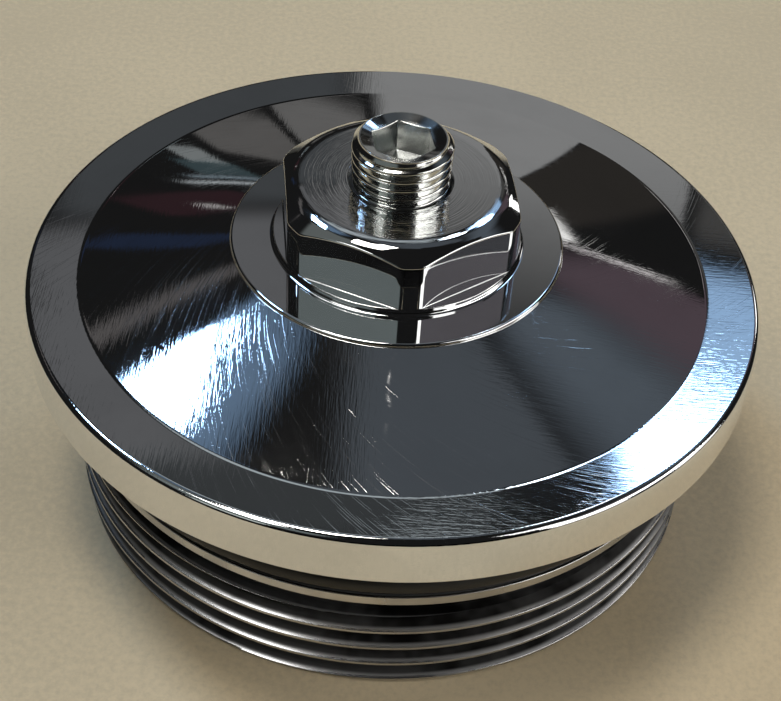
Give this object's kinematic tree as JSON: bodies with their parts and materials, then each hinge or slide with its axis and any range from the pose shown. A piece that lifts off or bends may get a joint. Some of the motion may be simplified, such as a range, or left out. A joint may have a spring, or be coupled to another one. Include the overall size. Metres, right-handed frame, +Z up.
{
  "type": "fuel filter housing cap",
  "caption": "Turned aluminium cap with a wrench hex and a pipe plug, screwing into a filter housing over a rubber seal.",
  "frame": {"origin": "the foot of the skirt, on the axis, when the cap stands upright", "axes": "+Z runs up the cap's own axis of rotation, from the skirt's foot to the plug"},
  "size_m": [0.1048, 0.1048, 0.0584],
  "materials": {
    "cap_body": "turned and polished",
    "o_ring": "matte",
    "port_plug": "plated, machined"
  },
  "bodies": {
    "cap": {"cap_body": "cap_body", "o_ring": "o_ring"},
    "plug": {"port_plug": "port_plug"}
  },
  "joints": [
    {"name": "plug_turn", "type": "hinge", "parent": "cap", "child": "plug", "pos_m": [0, 0, 0.0515], "axis": [0, 0, 1], "range_deg": [0, 1490]}
  ]
}
